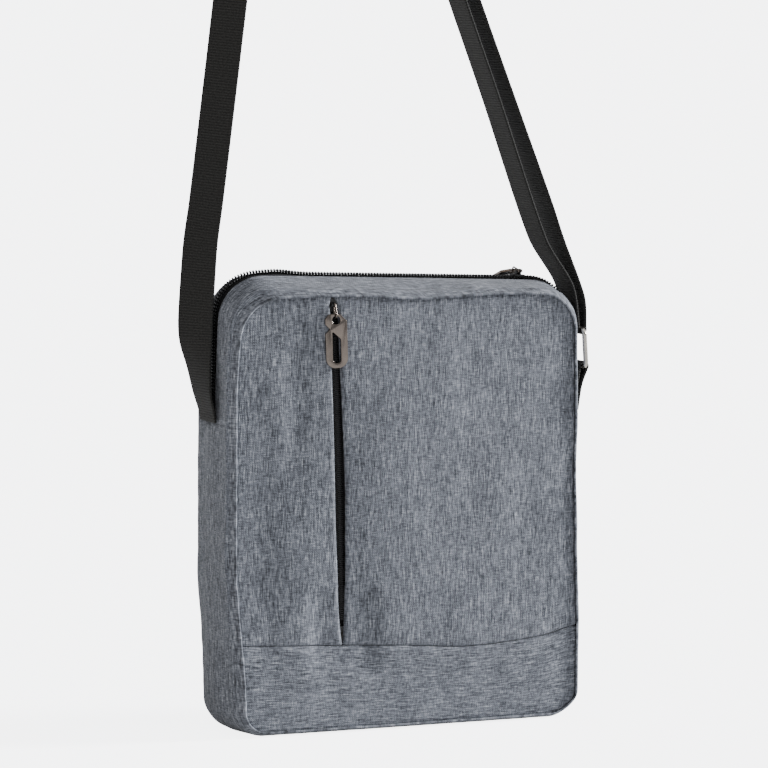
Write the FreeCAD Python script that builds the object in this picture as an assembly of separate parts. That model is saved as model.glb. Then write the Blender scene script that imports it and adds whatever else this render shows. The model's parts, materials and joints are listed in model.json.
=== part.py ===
import FreeCAD, Part

import math
import os

from FreeCAD import Matrix
from FreeCAD import Vector as V

# Messenger bag in heather cloth with a webbing shoulder strap.
# Origin at the centre of the base, +X along the width, +Y to the back, +Z up. Millimetres.

# Bag body
WIDTH = 216.0            # across the front panel, seam to seam
DEPTH = 60.0             # front face to back face
PANEL_TOP = 260.0        # top seam of the front and back faces
SIDE_BULGE = 6.0         # how far the gusset stands out past the side seams
RIDGE_TOP = 267.2        # top of the zip gusset at its middle
RIDGE_SLOPE = 0.035      # the zip line falls towards +X
RIDGE_HALF = 7.0         # half of the flat ridge that carries the main zip
CORNER_TOP = 26.0
CORNER_BASE = 16.0
ANCHOR_Z = 184.0         # seam between side gusset and zip gusset, where the strap is sewn in
BAND_TOP = 54.0          # top of the lower front band
HALF_GAP = 0.4           # half of the gap left at a seam between two cloth pieces

# Layers
CLOTH = 1.2
FOAM = 2.0
LINING = 0.4
BINDING = 1.2
POUCH = 1.6
PLY = 0.05               # air between two stacked layers

# Mouth: the upper back folds on this line
FOLD_Z = 183.7

# Zips
TAPE = 0.6
TAPE_EDGE = 10.0         # half of the full tape width
COIL_IN = 0.6            # each coil row runs from here ...
COIL_OUT = 3.2           # ... to here, off the zip's centre line
COIL_TOP = 2.1           # above the tape's underside
STRIP_EDGE = 5.2         # cloth strip's edge, off the main zip's centre line
COIL_END_Z = 188.0
STOP = 2.5

# Sliders and pulls
PLATE = 0.9
PLATE_ALONG = 3.75       # half length along the zip
PLATE_ACROSS = 4.2       # half width across the zip
UNDER = 0.35             # room under the tape
RISE_POCKET = 0.3        # room above the coil
RISE_MAIN = 1.5          # more here, for the back coil's rise as the mouth opens
BAIL_BAR = 0.5
BAIL_UP = 1.8            # bar centre above the plate
BAIL_HALF = 1.8
LINK_WIRE = 0.5
LINK_NEAR = 1.15         # wire centre from the bail bar's centre
LINK_FAR = 1.75          # wire centre from the tag's bridge
LINK_LONG = 5.6
LINK_RISE = 1.5
TAG_WIDE = 13.8
TAG_LONG = 32.0
TAG_THICK = 1.4
TAG_BRIDGE = 1.1
TAG_HOLE = 2.6
MAIN_SLIDER_X = 82.0
MAIN_PULL_DROOP = 10.0   # degrees below level, towards the back
MAIN_TAG_SAG = 7.5       # degrees that the tag hangs below its link

# Pocket zip
SLIT_X = -46.6
SLIT_MID_Z = 155.0
SLIT_TILT = -2.1         # degrees about Y, the top leans to -X
SLIT_HALF = 2.6
POCKET_BASE_Y = -25.2    # underside of the pocket zip's tape
POCKET_SLIDER_Z = 253.8
HEM_IN = 4.6
HEM_OUT = 10.4

# Strap
WEB = 25.0
WEB_THICK = 1.5
LEG_TWIST = 31.0         # degrees, the left leg's outer face turns to the front
RING_WIRE = 1.5
RING_WIDE = 30.0         # wire centre to wire centre along Y
RING_LOW = (121.6, 211.0)
RING_HIGH = (120.0, 233.8)
FOLD_RADIUS = RING_WIRE + 0.3 + WEB_THICK / 2
ADJUSTER_Z = 447.0
ADJUSTER_OFF = 3.85      # adjuster's middle plane from the main webbing's
LEG_FOOT = (-117.5, 186.0)
LEG_LOW = (-119.4, 314.0)
LEG_HIGH = (-100.0, 470.0)

os.makedirs("parts", exist_ok=True)
NODES = {}


def box(x0, x1, y0, y1, z0, z1):
    return Part.makeBox(x1 - x0, y1 - y0, z1 - z0, V(x0, y0, z0))


def rod(start, end, radius):
    return Part.makeCylinder(radius, (end - start).Length, start, end - start)


def rounded(corners, radii, lift):
    """A closed wire through 2-D corners, each rounded by its radius; lift turns (a, b) into a Vector."""
    edges = []
    stops = []
    for i, (a, b) in enumerate(corners):
        here = V(a, b, 0)
        back = (V(*corners[i - 1], 0) - here).normalize()
        ahead = (V(*corners[(i + 1) % len(corners)], 0) - here).normalize()
        half = back.getAngle(ahead) / 2
        reach = radii[i] / math.tan(half)
        centre = here + (back + ahead).normalize() * (radii[i] / math.sin(half))
        middle = centre + (here - centre).normalize() * radii[i]
        stops.append((here + back * reach, middle, here + ahead * reach))
    for i, (start, middle, end) in enumerate(stops):
        edges.append(Part.Arc(lift(start), lift(middle), lift(end)).toShape())
        edges.append(Part.LineSegment(lift(end), lift(stops[(i + 1) % len(stops)][0])).toShape())
    return Part.Wire(edges)


def outline(inset, y):
    """The bag's rounded outline at depth y, drawn in by inset."""
    share = min(1.0, (DEPTH / 2 - abs(y)) / (DEPTH / 2 - RIDGE_HALF))
    half = WIDTH / 2 + SIDE_BULGE * share

    def top(x):
        return PANEL_TOP + (RIDGE_TOP - PANEL_TOP - RIDGE_SLOPE * x) * share - inset

    half -= inset
    corners = [(-half, inset), (half, inset), (half, top(half)), (-half, top(-half))]
    radii = [CORNER_BASE - inset, CORNER_BASE - inset, CORNER_TOP - inset, CORNER_TOP - inset]
    return rounded(corners, radii, lambda p: V(p.x, y, p.y))


def hull(inset):
    stations = (-DEPTH / 2, -RIDGE_HALF, RIDGE_HALF, DEPTH / 2)
    return Part.makeLoft([outline(inset, y) for y in stations], True, True)


def band(inset, thick, y0, y1, z0=-1.0, z1=400.0):
    """A ring of the bag's wall, cut to a range of depth and of height."""
    return hull(inset).cut(hull(inset + thick)).common(box(-200, 200, y0, y1, z0, z1))


def sheet(inset, y, thick, z0=-1.0, z1=400.0):
    face = Part.Face(outline(inset, -DEPTH / 2))
    face.translate(V(0, y + DEPTH / 2, 0))
    return face.extrude(V(0, thick, 0)).common(box(-200, 200, -100, 100, z0, z1))


def body():
    low, high = ANCHOR_Z - HALF_GAP, ANCHOR_Z + HALF_GAP
    front, back = -DEPTH / 2, DEPTH / 2
    edge = back - CLOTH - PLY
    fold_low, fold_high = FOLD_Z - 0.5, FOLD_Z + 0.5
    lined = POCKET_BASE_Y + 6.0

    NODES["front_lower_band"] = sheet(0, front, CLOTH, z1=BAND_TOP - HALF_GAP)
    NODES["back_panel_lower"] = sheet(0, back - CLOTH, CLOTH, z1=fold_low)
    NODES["back_panel_upper"] = sheet(0, back - CLOTH, CLOTH, z0=fold_high)
    NODES["side_bottom_gusset"] = band(0, CLOTH, -edge, edge, z1=low)
    NODES["zip_gusset_front_strip"] = band(0, CLOTH, -edge, -STRIP_EDGE, z0=high)
    NODES["zip_gusset_back_strip"] = band(0, CLOTH, STRIP_EDGE, edge, z0=high)

    under = CLOTH + PLY
    NODES["front_seam_binding"] = band(under, BINDING, -edge, -edge + 6)
    NODES["back_seam_binding_lower"] = band(under, BINDING, edge - 6, edge, z1=fold_low)
    NODES["back_seam_binding_upper"] = band(under, BINDING, edge - 6, edge, z0=high)

    NODES["front_foam"] = sheet(8, lined - 2.6, FOAM, z1=PANEL_TOP - 12)
    NODES["front_lining"] = sheet(3.2, lined - 0.4, LINING)
    NODES["gusset_lining"] = band(2.7, LINING, lined + 0.2, edge - 6.2, z1=low)
    NODES["back_foam_lower"] = sheet(8, edge - FOAM - PLY, FOAM, z1=fold_low)
    NODES["back_foam_upper"] = sheet(8, edge - FOAM - PLY, FOAM, z0=fold_high)
    NODES["back_lining_lower"] = sheet(3.2, edge - FOAM - LINING - 0.2, LINING, z1=fold_low)
    NODES["back_lining_upper"] = sheet(3.2, edge - FOAM - LINING - 0.2, LINING, z0=fold_high)


def main_zip():
    base = CLOTH + PLY
    for side, sign in (("front", -1), ("back", 1)):
        y_tape = sorted((sign * COIL_IN, sign * TAPE_EDGE))
        y_coil = sorted((sign * COIL_IN, sign * COIL_OUT))
        NODES[f"main_zip_{side}_tape"] = band(base, TAPE, *y_tape, z0=ANCHOR_Z + HALF_GAP)
        proud = COIL_TOP - TAPE - base
        NODES[f"main_zip_{side}_coil"] = band(-proud, COIL_TOP - TAPE, *y_coil, z0=COIL_END_Z)
    stops = band(-0.2, base + 0.2, -COIL_OUT, -COIL_IN, z0=COIL_END_Z - STOP - 0.3, z1=COIL_END_Z - 0.3)
    NODES["main_zip_end_stops"] = stops


def on_slit(shape):
    shape = shape.copy()
    shape.rotate(V(SLIT_X, 0, SLIT_MID_Z), V(0, 1, 0), SLIT_TILT)
    return shape


def slit_box(u0, u1, w0, w1, z0, z1):
    """A box beside the slit: u across it, w out of the tape's underside towards the front."""
    return on_slit(box(SLIT_X + u0, SLIT_X + u1, POCKET_BASE_Y - w1, POCKET_BASE_Y - w0, z0, z1))


def front_panel(sign):
    """One upper front panel, with the folded hem that its zip tape is sewn to."""
    z0, z1 = BAND_TOP + HALF_GAP, PANEL_TOP
    corners = [(0.1, z0 - 3), (SLIT_HALF, z0 + 22), (SLIT_HALF, z1 - 4), (0.1, z1 + 3)]
    far = 400.0
    corners = [(0.1, z0 - 60)] + corners + [(0.1, z1 + 60), (-far, z1 + 60), (-far, z0 - 60)]
    points = [V(SLIT_X + sign * u, -DEPTH, z) for u, z in corners]
    cutter = Part.Face(Part.makePolygon(points + points[:1])).extrude(V(0, 2 * DEPTH, 0))
    u0, u1 = sorted((sign * HEM_IN, sign * HEM_OUT))
    depth = POCKET_BASE_Y + DEPTH / 2 - CLOTH
    hem = slit_box(u0, u1, TAPE + PLY, -POCKET_BASE_Y - DEPTH / 2 + depth * 2, z0 + 2, z1 - 3)
    cloth = sheet(0, -DEPTH / 2, CLOTH, z0=z0).cut(on_slit(cutter))
    return cloth.fuse(hem).removeSplitter()


def pocket_zip():
    NODES["front_left_panel"] = front_panel(-1)
    NODES["front_right_panel"] = front_panel(1)
    z0, z1 = BAND_TOP + 5, PANEL_TOP - 2.4
    for side, sign in (("left", -1), ("right", 1)):
        u_tape = sorted((sign * COIL_IN, sign * TAPE_EDGE))
        u_coil = sorted((sign * COIL_IN, sign * COIL_OUT))
        NODES[f"pocket_zip_{side}_tape"] = slit_box(*u_tape, 0, TAPE, z0, z1 + 1)
        NODES[f"pocket_zip_{side}_coil"] = slit_box(*u_coil, TAPE, COIL_TOP, z0 + 4, z1)
    top = slit_box(-COIL_OUT, COIL_OUT, TAPE, COIL_TOP, z1 + 0.1, z1 + 1)
    low = slit_box(-COIL_OUT, COIL_OUT, TAPE, COIL_TOP, z0 + 1, z0 + 3.5)
    NODES["pocket_zip_end_stops"] = Part.makeCompound([top, low])
    back = -1.6 - POUCH
    bag = slit_box(-46, 100, back, back + POUCH, z0 + 8, z1 - 18)
    inside = slit_box(-45.4, 99.4, back + LINING, back + POUCH - LINING, z0 + 8.6, z1 - 18.6)
    mouth = slit_box(-1.5, 1.5, back + POUCH / 2, back + POUCH + 1, z0 + 12, z1 - 22)
    NODES["pocket_pouch"] = bag.cut(inside).cut(mouth)


def slider(half_h, half_p, wedge_h, wedge_p, rise):
    """Zip slider: two plates, the wedge between the coils and the bail. x hinge, y pull, z out."""
    roof = COIL_TOP + rise
    top = roof + PLATE
    shape = box(-half_h, half_h, -half_p, half_p, roof, top)
    shape = shape.fuse(box(-half_h, half_h, -half_p, half_p, -UNDER - PLATE, -UNDER))
    plates = [e for e in shape.Edges if abs(e.tangentAt(e.FirstParameter).z) > 0.9]
    shape = shape.makeFillet(1.5, plates)
    shape = shape.fuse(box(-wedge_h, wedge_h, -wedge_p, wedge_p, -UNDER - 0.1, roof + 0.1))
    bar = top + BAIL_UP
    for sign in (-1, 1):
        x0, x1 = sorted((sign * (BAIL_HALF - 0.85), sign * BAIL_HALF))
        post = box(x0, x1, -1.0, 1.0, top - 0.1, bar + BAIL_BAR)
        crown = [e for e in post.Edges if abs(e.tangentAt(e.FirstParameter).x) > 0.9 and e.CenterOfMass.z > bar]
        shape = shape.fuse(post.makeFillet(0.6, crown))
    shape = shape.fuse(rod(V(-BAIL_HALF + 0.1, 0, bar), V(BAIL_HALF - 0.1, 0, bar), BAIL_BAR))
    return shape.removeSplitter(), bar


def link(bar):
    """Wire link in the plane of pull and outward normal, round the bail bar and the tag's bridge."""
    near = V(0, 0, bar)
    far = V(0, LINK_LONG, bar + LINK_RISE)
    run = far - near
    tilt = math.atan2(run.z, run.y)
    open_out = math.asin((LINK_FAR - LINK_NEAR) / run.Length)

    def at(centre, radius, angle):
        return centre + V(0, math.cos(angle), math.sin(angle)) * radius

    up = tilt + math.pi / 2 + open_out
    down = tilt - math.pi / 2 - open_out
    edges = [
        Part.LineSegment(at(near, LINK_NEAR, up), at(far, LINK_FAR, up)).toShape(),
        Part.Arc(at(far, LINK_FAR, up), at(far, LINK_FAR, tilt), at(far, LINK_FAR, down)).toShape(),
        Part.LineSegment(at(far, LINK_FAR, down), at(near, LINK_NEAR, down)).toShape(),
        Part.Arc(at(near, LINK_NEAR, down), at(near, LINK_NEAR, tilt + math.pi),
                 at(near, LINK_NEAR, up)).toShape(),
    ]
    path = Part.Wire(edges)
    start = at(near, LINK_NEAR, up)
    along = at(far, LINK_FAR, up) - start
    ring = Part.Wire(Part.makeCircle(LINK_WIRE, start, along))
    return path.makePipeShell([ring], True, False), far


def tag(pivot):
    """Pull tag: a plate with a round hole, a side notch and a long slot, hung from its bridge."""
    half = TAG_WIDE / 2
    start = -TAG_BRIDGE / 2
    end = start + TAG_LONG
    corners = [(-2.4, start), (4.4, start), (half, start + 2.6), (half, start + 6.0), (4.0, start + 8.8),
               (half, start + 11.4), (half, end), (-half, end), (-half, start + 4.4)]
    radii = [2.0, 1.6, 1.4, 0.9, 0.4, 0.9, half - 0.9, half - 0.9, 2.0]

    def lift(p):
        return V(p.x, p.y, -TAG_THICK / 2)

    plate = Part.Face(rounded(corners, radii, lift)).extrude(V(0, 0, TAG_THICK))
    hole_at = V(0, TAG_BRIDGE / 2 + TAG_HOLE, -TAG_THICK)
    plate = plate.cut(Part.makeCylinder(TAG_HOLE, 2 * TAG_THICK, hole_at))
    slot_half = 2.7
    slot = [(-slot_half, start + 15.0), (slot_half, start + 10.2), (slot_half, end - 2.9), (-slot_half, end - 2.9)]
    plate = plate.cut(Part.Face(rounded(slot, [0.8, 0.5, 2.5, 2.5], lift)).extrude(V(0, 0, 2 * TAG_THICK)))
    plate.translate(pivot)
    return plate


def frame_matrix(hinge, pull, out, origin):
    return Matrix(hinge.x, pull.x, out.x, origin.x,
                  hinge.y, pull.y, out.y, origin.y,
                  hinge.z, pull.z, out.z, origin.z,
                  0, 0, 0, 1)


def pull_set(name, halves, wedges, rise, matrix, droop=0.0, sag=0.0):
    body_shape, bar = slider(*halves, *wedges, rise)
    ring, pivot = link(bar)
    plate = tag(pivot)
    for piece in (ring, plate):
        piece.rotate(V(0, 0, bar), V(1, 0, 0), -droop)
    turn = math.radians(-droop)
    reach = pivot - V(0, 0, bar)
    pivot = V(0, reach.y * math.cos(turn) - reach.z * math.sin(turn),
              bar + reach.y * math.sin(turn) + reach.z * math.cos(turn))
    plate.rotate(pivot, V(1, 0, 0), -sag)
    for node, shape in (("slider", body_shape), ("slider_link", ring), ("pull_tag", plate)):
        NODES[f"{name}_zip_{node}"] = shape.transformed(matrix)
    for word, point in (("bail", V(0, 0, bar)), ("tag pivot", pivot)):
        spot = matrix.multVec(point)
        print(f"{name} {word} at {spot.x:.3f} {spot.y:.3f} {spot.z:.3f}")


def pulls():
    tilt = math.radians(SLIT_TILT)
    up = V(math.sin(tilt), 0, math.cos(tilt))
    rise = POCKET_SLIDER_Z - SLIT_MID_Z
    spot = V(SLIT_X, POCKET_BASE_Y, SLIT_MID_Z) + up * rise
    out = V(0, -1, 0)
    pull = up * -1
    pocket = frame_matrix(pull.cross(out), pull, out, spot)
    pull_set("pocket", (PLATE_ACROSS, PLATE_ALONG), (0.3, 1.5), RISE_POCKET, pocket)

    fall = math.atan(RIDGE_SLOPE)
    along = V(math.cos(fall), 0, -math.sin(fall))
    out = V(math.sin(fall), 0, math.cos(fall))
    base = RIDGE_TOP - RIDGE_SLOPE * MAIN_SLIDER_X - CLOTH - PLY - TAPE
    spot = V(MAIN_SLIDER_X, 0, base)
    main = frame_matrix(along, V(0, 1, 0), out, spot)
    pull_set("main", (PLATE_ALONG, PLATE_ACROSS), (1.5, 0.3), RISE_MAIN, main, MAIN_PULL_DROOP, MAIN_TAG_SAG)
    print(f"main zip axis {-along.x:.5f} 0 {-along.z:.5f}; pocket zip axis {pull.x:.5f} 0 {pull.z:.5f}")


def across(twist):
    """The webbing's width direction, turned about Z by the twist."""
    angle = math.radians(twist)
    return V(-math.sin(angle), math.cos(angle), 0)


def ribbon(stations, offset=0.0):
    """Webbing through (x, z, twist) stations, as a chain of flat rectangles."""
    wires = []
    spots = [V(x, 0, z) for x, z, _ in stations]
    for i, (x, z, twist) in enumerate(stations):
        before = spots[max(i - 1, 0)]
        after = spots[min(i + 1, len(spots) - 1)]
        tangent = (after - before).normalize()
        wide = across(twist)
        wide = (wide - tangent * wide.dot(tangent)).normalize()
        thick = tangent.cross(wide).normalize()
        centre = spots[i] + thick * offset
        w, t = wide * (WEB / 2), thick * (WEB_THICK / 2)
        ring = [centre - w - t, centre + w - t, centre + w + t, centre - w + t]
        wires.append(Part.makePolygon(ring + ring[:1]))
    return Part.makeLoft(wires, True, True)


def bezier(ends, count):
    """Points along a cubic curve, without its first point."""
    points = []
    for i in range(1, count + 1):
        t = i / count
        shares = ((1 - t) ** 3, 3 * t * (1 - t) ** 2, 3 * t * t * (1 - t), t ** 3)
        points.append(tuple(sum(s * p[k] for s, p in zip(shares, ends)) for k in (0, 1)))
    return points


def round_bar(centre, start, end, count):
    """Points of a fold round a bar, from one angle to another in degrees."""
    points = []
    for i in range(count + 1):
        angle = math.radians(start + (end - start) * i / count)
        points.append((centre[0] + FOLD_RADIUS * math.cos(angle), centre[1] + FOLD_RADIUS * math.sin(angle)))
    return points


def flat(points):
    return [(x, z, 0.0) for x, z in points]


def strap():
    leg = [(*LEG_FOOT, 0), (-121.3, 201.0, 3.5), (-123.6, 217.0, 12), (-125.6, 234.0, 30), (-125.7, 250.0, 33),
           (-124.6, 266.0, 33), (-122.8, 290.0, 32), (*LEG_LOW, LEG_TWIST), (*LEG_HIGH, LEG_TWIST)]
    rise = bezier([LEG_HIGH, (-94.5, 514), (-62, 532), (-27, 532)], 7)
    fall = bezier([(-27, 532), (8, 532), (33, 482), (49.7, 432)], 6)
    untwist = [LEG_TWIST * (1 - (i + 1) / len(rise)) for i in range(len(rise))]
    arch = [(x, z, turn) for (x, z), turn in zip(rise, untwist)]
    outer = flat(fall + [(73, 374), (98.8, 310), (106.6, 289), (121, 253.5)] + round_bar(RING_HIGH, 20, -90, 5))
    NODES["strap_webbing"] = ribbon(leg + arch + outer)

    inner_rise = bezier([(-91.9, 480), (-87.7, 510), (-58, 521), (-27, 521)], 6)
    inner_fall = bezier([(-27, 521), (4, 521), (25, 478), (40.5, 432)], 6)
    untwist = [LEG_TWIST * (1 - (i + 1) / len(inner_rise)) for i in range(len(inner_rise))]
    start = [(-93.5, 474, LEG_TWIST), (-91.9, 480, LEG_TWIST)]
    arch = [(x, z, turn) for (x, z), turn in zip(inner_rise, untwist)]
    inner = flat(inner_fall + [(63, 374), (95, 289), (113.5, 260)] + round_bar(RING_HIGH, 150, 262, 5))
    NODES["strap_return_webbing"] = ribbon(start + arch + inner)

    loop = [(115.6, 186.0), (117.2, 200.0)] + round_bar(RING_LOW, 172, -8, 8) + [(120.0, 200.0), (117.4, 186.0)]
    NODES["strap_ring_loop"] = ribbon(flat(loop))

    low, high = V(RING_LOW[0], 0, RING_LOW[1]), V(RING_HIGH[0], 0, RING_HIGH[1])
    up = high - low
    reach = up.Length / 2
    up.normalize()
    middle = (low + high) * 0.5
    half = RING_WIDE / 2
    corners = [(-half, -reach), (half, -reach), (half, reach), (-half, reach)]

    def lift(p):
        return middle + V(0, 1, 0) * p.x + up * p.y

    path = rounded(corners, [3.5] * 4, lift)
    edge = path.Edges[1]
    start = edge.valueAt(edge.FirstParameter)
    profile = Part.Wire(Part.makeCircle(RING_WIRE, start, edge.tangentAt(edge.FirstParameter)))
    NODES["strap_ring"] = path.makePipeShell([profile], True, False)


def adjuster():
    along = V(LEG_HIGH[0] - LEG_LOW[0], 0, LEG_HIGH[1] - LEG_LOW[1]).normalize()
    wide = across(LEG_TWIST)
    wide = (wide - along * wide.dot(along)).normalize()
    inward = wide.cross(along).normalize()
    share = (ADJUSTER_Z - LEG_LOW[1]) / (LEG_HIGH[1] - LEG_LOW[1])
    spot = V(LEG_LOW[0] + share * (LEG_HIGH[0] - LEG_LOW[0]), 0, ADJUSTER_Z) + inward * ADJUSTER_OFF
    matrix = frame_matrix(wide, along, inward, spot)

    outer = [(-16.8, -12.5), (16.8, -12.5), (16.8, 12.5), (-16.8, 12.5)]
    inner = [(-13.3, -9.6), (13.3, -9.6), (13.3, 9.6), (-13.3, 9.6)]

    def lift(p):
        return V(p.x, p.y, -1.2)

    frame = Part.Face(rounded(outer, [3.0] * 4, lift)).extrude(V(0, 0, 2.4))
    frame = frame.cut(Part.Face(rounded(inner, [1.2] * 4, lift)).extrude(V(0, 0, 2.4)))
    bar = rod(V(-14.6, 0, 0), V(14.6, 0, 0), 0.9)
    frame = frame.cut(bar)
    NODES["adjuster_frame"] = frame.transformed(matrix)
    NODES["adjuster_bar"] = bar.transformed(matrix)

    wrap = rod(V(-WEB / 2, 0, 0), V(WEB / 2, 0, 0), 2.8).cut(rod(V(-20, 0, 0), V(20, 0, 0), 0.95))
    tail = box(-WEB / 2, WEB / 2, 0, 22, 1.4, 2.8)
    NODES["strap_end_loop"] = wrap.fuse(tail).removeSplitter().transformed(matrix)
    print(f"adjuster at {spot.x:.2f} {spot.y:.2f} {spot.z:.2f}, slides along {-along.x:.5f} 0 {-along.z:.5f}")


body()
main_zip()
pocket_zip()
pulls()
strap()
adjuster()
for name, shape in NODES.items():
    shape.exportStep(f"parts/{name}.step")
    if not shape.isValid() or not shape.Solids:
        print("problem:", name)
print(len(NODES), "nodes")
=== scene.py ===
"""Messenger bag: soft shell, zips, strap and hardware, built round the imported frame.

Lengths named in millimetres are turned to metres by MM where a mesh is made.
Cloth pieces are drawn on an ideal bag, then drape() moves every one of them the same way.
"""

import json
import math

import bmesh
import bpy
from mathutils import Matrix, Vector, noise


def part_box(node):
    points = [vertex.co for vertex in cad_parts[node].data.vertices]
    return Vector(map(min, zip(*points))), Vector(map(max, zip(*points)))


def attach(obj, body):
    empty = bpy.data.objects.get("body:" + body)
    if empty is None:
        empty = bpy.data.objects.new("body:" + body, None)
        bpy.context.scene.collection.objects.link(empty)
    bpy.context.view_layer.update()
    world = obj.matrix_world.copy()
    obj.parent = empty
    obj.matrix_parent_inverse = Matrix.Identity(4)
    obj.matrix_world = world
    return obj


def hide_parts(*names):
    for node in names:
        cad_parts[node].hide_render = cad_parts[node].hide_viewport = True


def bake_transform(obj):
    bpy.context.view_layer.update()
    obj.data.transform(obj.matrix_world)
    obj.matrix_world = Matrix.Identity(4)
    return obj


MM = 0.001
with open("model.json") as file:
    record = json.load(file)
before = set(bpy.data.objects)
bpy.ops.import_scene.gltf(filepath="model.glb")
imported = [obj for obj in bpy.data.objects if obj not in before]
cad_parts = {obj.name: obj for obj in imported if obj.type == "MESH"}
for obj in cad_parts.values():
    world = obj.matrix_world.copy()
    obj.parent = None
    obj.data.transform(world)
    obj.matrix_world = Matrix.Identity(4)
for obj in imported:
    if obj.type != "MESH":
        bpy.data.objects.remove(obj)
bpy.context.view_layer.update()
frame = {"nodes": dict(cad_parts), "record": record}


def node_box(node):
    low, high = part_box(node)
    return Vector(low) / MM, Vector(high) / MM


# Bag, read from the frame
face_low, face_high = node_box("front_right_panel")
HALF_W = face_high.x
FACE_Y = -face_low.y
TOP = face_high.z
gusset_high = node_box("side_bottom_gusset")[1]
SIDE_X = gusset_high.x
ANCHOR = gusset_high.z + 0.4
BAND_TOP = node_box("front_lower_band")[1].z + 0.4
STRIP_EDGE = -node_box("zip_gusset_front_strip")[1].y
TAPE_EDGE = -node_box("main_zip_front_tape")[0].y

# Bag, shape of the cloth
RIDGE_HALF = 7.0
RIDGE_TOP = 267.2
RIDGE_SLOPE = 0.035
CORNER_TOP = 26.0
CORNER_BASE = 16.0
CLOTH = 1.2
LEFT_TURN = 5.2          # how far the left front panel falls back at its outer seam
SEAM_ROLL = 1.3          # radius that each cloth rolls in by at an edge seam
SEAM_SET = 2.0           # how far the roll stays back from the other cloth's plane
SEAM_TURN = 2.1          # radians of roll
SLIT_X = -46.6
SLIT_MID = 155.0
SLIT_LEAN = math.tan(math.radians(2.1))
SLIT_WIDEST = 3.2
SLIT_FOOT = 55.0
SLIT_FOLD = 2.3
POCKET_TAPE_Y = node_box("pocket_zip_left_tape")[0].y
CLOSED_TAG_Z = 235.0     # height at which the pocket pull's tag lies with the zip closed
OPEN_TAG_Z = 62.0        # and with it open

# Layers
TAPE_THICK = 0.6
LINING_THICK = 0.4
FOAM_THICK = 2.0
FOAM_EDGE = 9.0          # the foam is cut this far short of the sides and base
BINDING_THICK = 0.8

# Coils: lengths of one turn, and each row's place off the zip's centre line and above its tape
POCKET_PITCH = 1.25
POCKET_ROW = 1.38
POCKET_PROUD = 0.78
MAIN_PITCH = 1.9
MAIN_ROW = 1.5
MAIN_PROUD = 0.95
COIL_END = 188.0         # height at which the main coil stops

# Strap, as in the design: degrees that the leg is turned, and the two bars of the ring
LEG_TWIST = 31.0
RING_HIGH = (120.0, 233.8)
RING_LOW = (121.6, 211.0)
BAR_RADIUS = 2.55


def smooth(t):
    t = min(1.0, max(0.0, t))
    return t * t * (3 - 2 * t)


def bump(t):
    return math.exp(-t * t)


# ---------------------------------------------------------------- shape

def share_at(y):
    """How much of the gusset's bulge is reached at depth y."""
    out = max(0.0, abs(y) - RIDGE_HALF) / (FACE_Y - RIDGE_HALF)
    return 1.0 - min(1.0, out) ** 1.15


def half_at(y):
    return HALF_W + (SIDE_X - HALF_W) * share_at(y)


def top_at(x, y):
    return TOP + (RIDGE_TOP - RIDGE_SLOPE * x - TOP) * share_at(y)


def rim(kind, y, step=3.0):
    """Points and outward normals round the bag at depth y: 'base' under the anchors, 'top' over them."""
    half = half_at(y)
    radius = CORNER_BASE if kind == "base" else CORNER_TOP
    turns = 14
    sides = round((ANCHOR - radius) / step) if kind == "base" else round((TOP - radius - ANCHOR) / step)
    across = round(2 * (HALF_W - radius) / step)
    points = []
    if kind == "base":
        for i in range(sides):
            points.append((-half, ANCHOR + (radius - ANCHOR) * i / sides, -1, 0))
        for i in range(turns + 1):
            a = math.pi + math.pi / 2 * i / turns
            points.append((-half + radius + radius * math.cos(a), radius + radius * math.sin(a),
                           math.cos(a), math.sin(a)))
        for i in range(1, across):
            points.append((-half + radius + 2 * (half - radius) * i / across, 0, 0, -1))
        for i in range(turns + 1):
            a = -math.pi / 2 + math.pi / 2 * i / turns
            points.append((half - radius + radius * math.cos(a), radius + radius * math.sin(a),
                           math.cos(a), math.sin(a)))
        for i in range(1, sides + 1):
            points.append((half, radius + (ANCHOR - radius) * i / sides, 1, 0))
        return points
    left, right = top_at(-half + radius, y) - radius, top_at(half - radius, y) - radius
    for i in range(sides):
        points.append((-half, ANCHOR + (left - ANCHOR) * i / sides, -1, 0))
    for i in range(turns + 1):
        a = math.pi - math.pi / 2 * i / turns
        points.append((-half + radius + radius * math.cos(a), left + radius * math.sin(a),
                       math.cos(a), math.sin(a)))
    for i in range(1, across):
        x = -half + radius + 2 * (half - radius) * i / across
        points.append((x, top_at(x, y), 0, 1))
    for i in range(turns + 1):
        a = math.pi / 2 - math.pi / 2 * i / turns
        points.append((half - radius + radius * math.cos(a), right + radius * math.sin(a),
                       math.cos(a), math.sin(a)))
    for i in range(1, sides + 1):
        points.append((half, right + (ANCHOR - right) * i / sides, 1, 0))
    return points


def side_swell(x, y, z):
    """The loaded sides stand out past the flat outline, most at the seams. The right is fullest low down."""
    high = 1 - 0.55 * smooth((z - 205) / 45)
    if x < 0:
        return (1.4 + 3.4 * smooth((abs(y) - 8) / 18)) * smooth((z - 4) / 110) * high
    low = 1.2 + 3.0 * (1 - smooth((z - 50) / 90))
    return low * smooth((abs(y) - 12) / 16) * smooth((z + 2) / 16) * high


def seam_sag(x, z):
    """The lower band's seam hangs in the middle and lifts at the right."""
    hang = 7.0 * bump((x - 42) / 52) + 2.2 * bump((x + 38) / 42) - 3.0 * smooth((x - 84) / 22)
    return hang * bump((z - BAND_TOP) / 34) * smooth(z / 30)


def top_wave(x):
    return 1.6 * bump((x + 55) / 38) - 1.4 * bump((x - 8) / 22) + 0.6 * bump((x - 60) / 25)


def belly(x, z):
    """How far a face stands out of its flat plane."""
    inside_x = max(0.0, 1 - (x / HALF_W) ** 2)
    inside_z = max(0.0, 1 - ((z - 120) / 150) ** 2)
    return 3.6 * inside_x ** 0.7 * inside_z * (0.75 + 0.25 * bump((z - 60) / 60))


def crease(x, y, z, scale, seed):
    return noise.noise(Vector((x / scale + seed, y / scale, z / scale)))


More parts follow.
